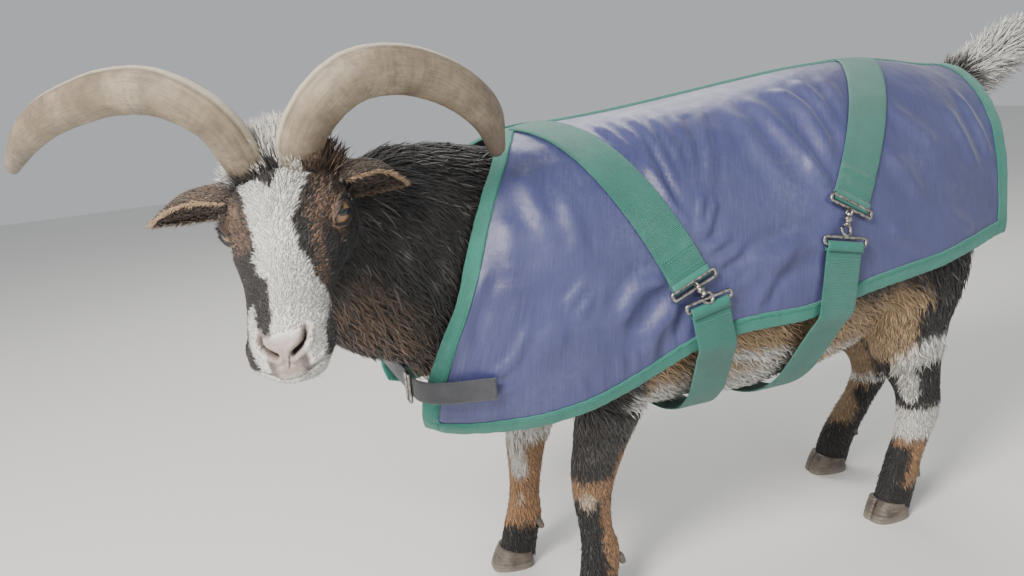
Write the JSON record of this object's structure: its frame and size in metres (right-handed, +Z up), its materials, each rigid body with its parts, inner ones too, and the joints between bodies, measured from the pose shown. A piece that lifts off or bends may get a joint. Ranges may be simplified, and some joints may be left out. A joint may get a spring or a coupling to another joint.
{
  "type": "nigerian dwarf goat wearing a buckled coat",
  "caption": "Life-size standing dwarf goat with curved horns and turned head, in a nylon coat held by webbing straps and snaps.",
  "frame": {"origin": "on the floor, under the middle of the whole model's bounding box", "axes": "-Y is the way the body faces, +X is the animal's left, +Z is up"},
  "size_m": [0.4162, 1.225, 0.6278],
  "materials": {
    "hair_dark": "dense short hair, black with brown and white patches",
    "hair_white": "long soft white hair",
    "horn": "dull grown horn with low rings",
    "hoof_horn": "dull grey-brown hoof",
    "eye": "wet gloss, amber with a level dark pupil",
    "nylon": "violet-blue woven nylon with a soft sheen",
    "webbing": "green ribbed webbing and edge binding",
    "strap_dark": "dark hook-and-loop webbing",
    "hardware": "worn nickel plate"
  },
  "bodies": {
    "root": {"belly_band_front": "webbing", "belly_band_rear": "webbing", "binding_hem_left": "webbing", "binding_hem_right": "webbing", "binding_neck": "webbing", "binding_rear": "webbing", "chest_loop": "hardware", "chest_strap": "strap_dark", "coat_shell": "nylon", "ear_left": "hair_dark", "ear_right": "hair_dark", "eye_left": "eye", "eye_right": "eye", "head": "hair_dark", "hoof_front_left_left_claw": "hoof_horn", "hoof_front_left_right_claw": "hoof_horn", "hoof_front_right_left_claw": "hoof_horn", "hoof_front_right_right_claw": "hoof_horn", "hoof_hind_left_left_claw": "hoof_horn", "hoof_hind_left_right_claw": "hoof_horn", "hoof_hind_right_left_claw": "hoof_horn", "hoof_hind_right_right_claw": "hoof_horn", "horn_left": "horn", "horn_right": "horn", "leg_front_left": "hair_dark", "leg_front_right": "hair_dark", "leg_hind_left": "hair_dark", "leg_hind_right": "hair_dark", "loop_front_lower_left": "hardware", "loop_front_lower_right": "hardware", "loop_front_upper_left": "hardware", "loop_front_upper_right": "hardware", "loop_rear_lower_left": "hardware", "loop_rear_lower_right": "hardware", "loop_rear_upper_left": "hardware", "loop_rear_upper_right": "hardware", "neck": "hair_dark", "snap_front_left": "hardware", "snap_front_right": "hardware", "snap_rear_left": "hardware", "snap_rear_right": "hardware", "strap_front_left": "webbing", "strap_front_right": "webbing", "strap_rear_left": "webbing", "strap_rear_right": "webbing", "tail": "hair_white", "torso": "hair_dark"}
  },
  "joints": []
}
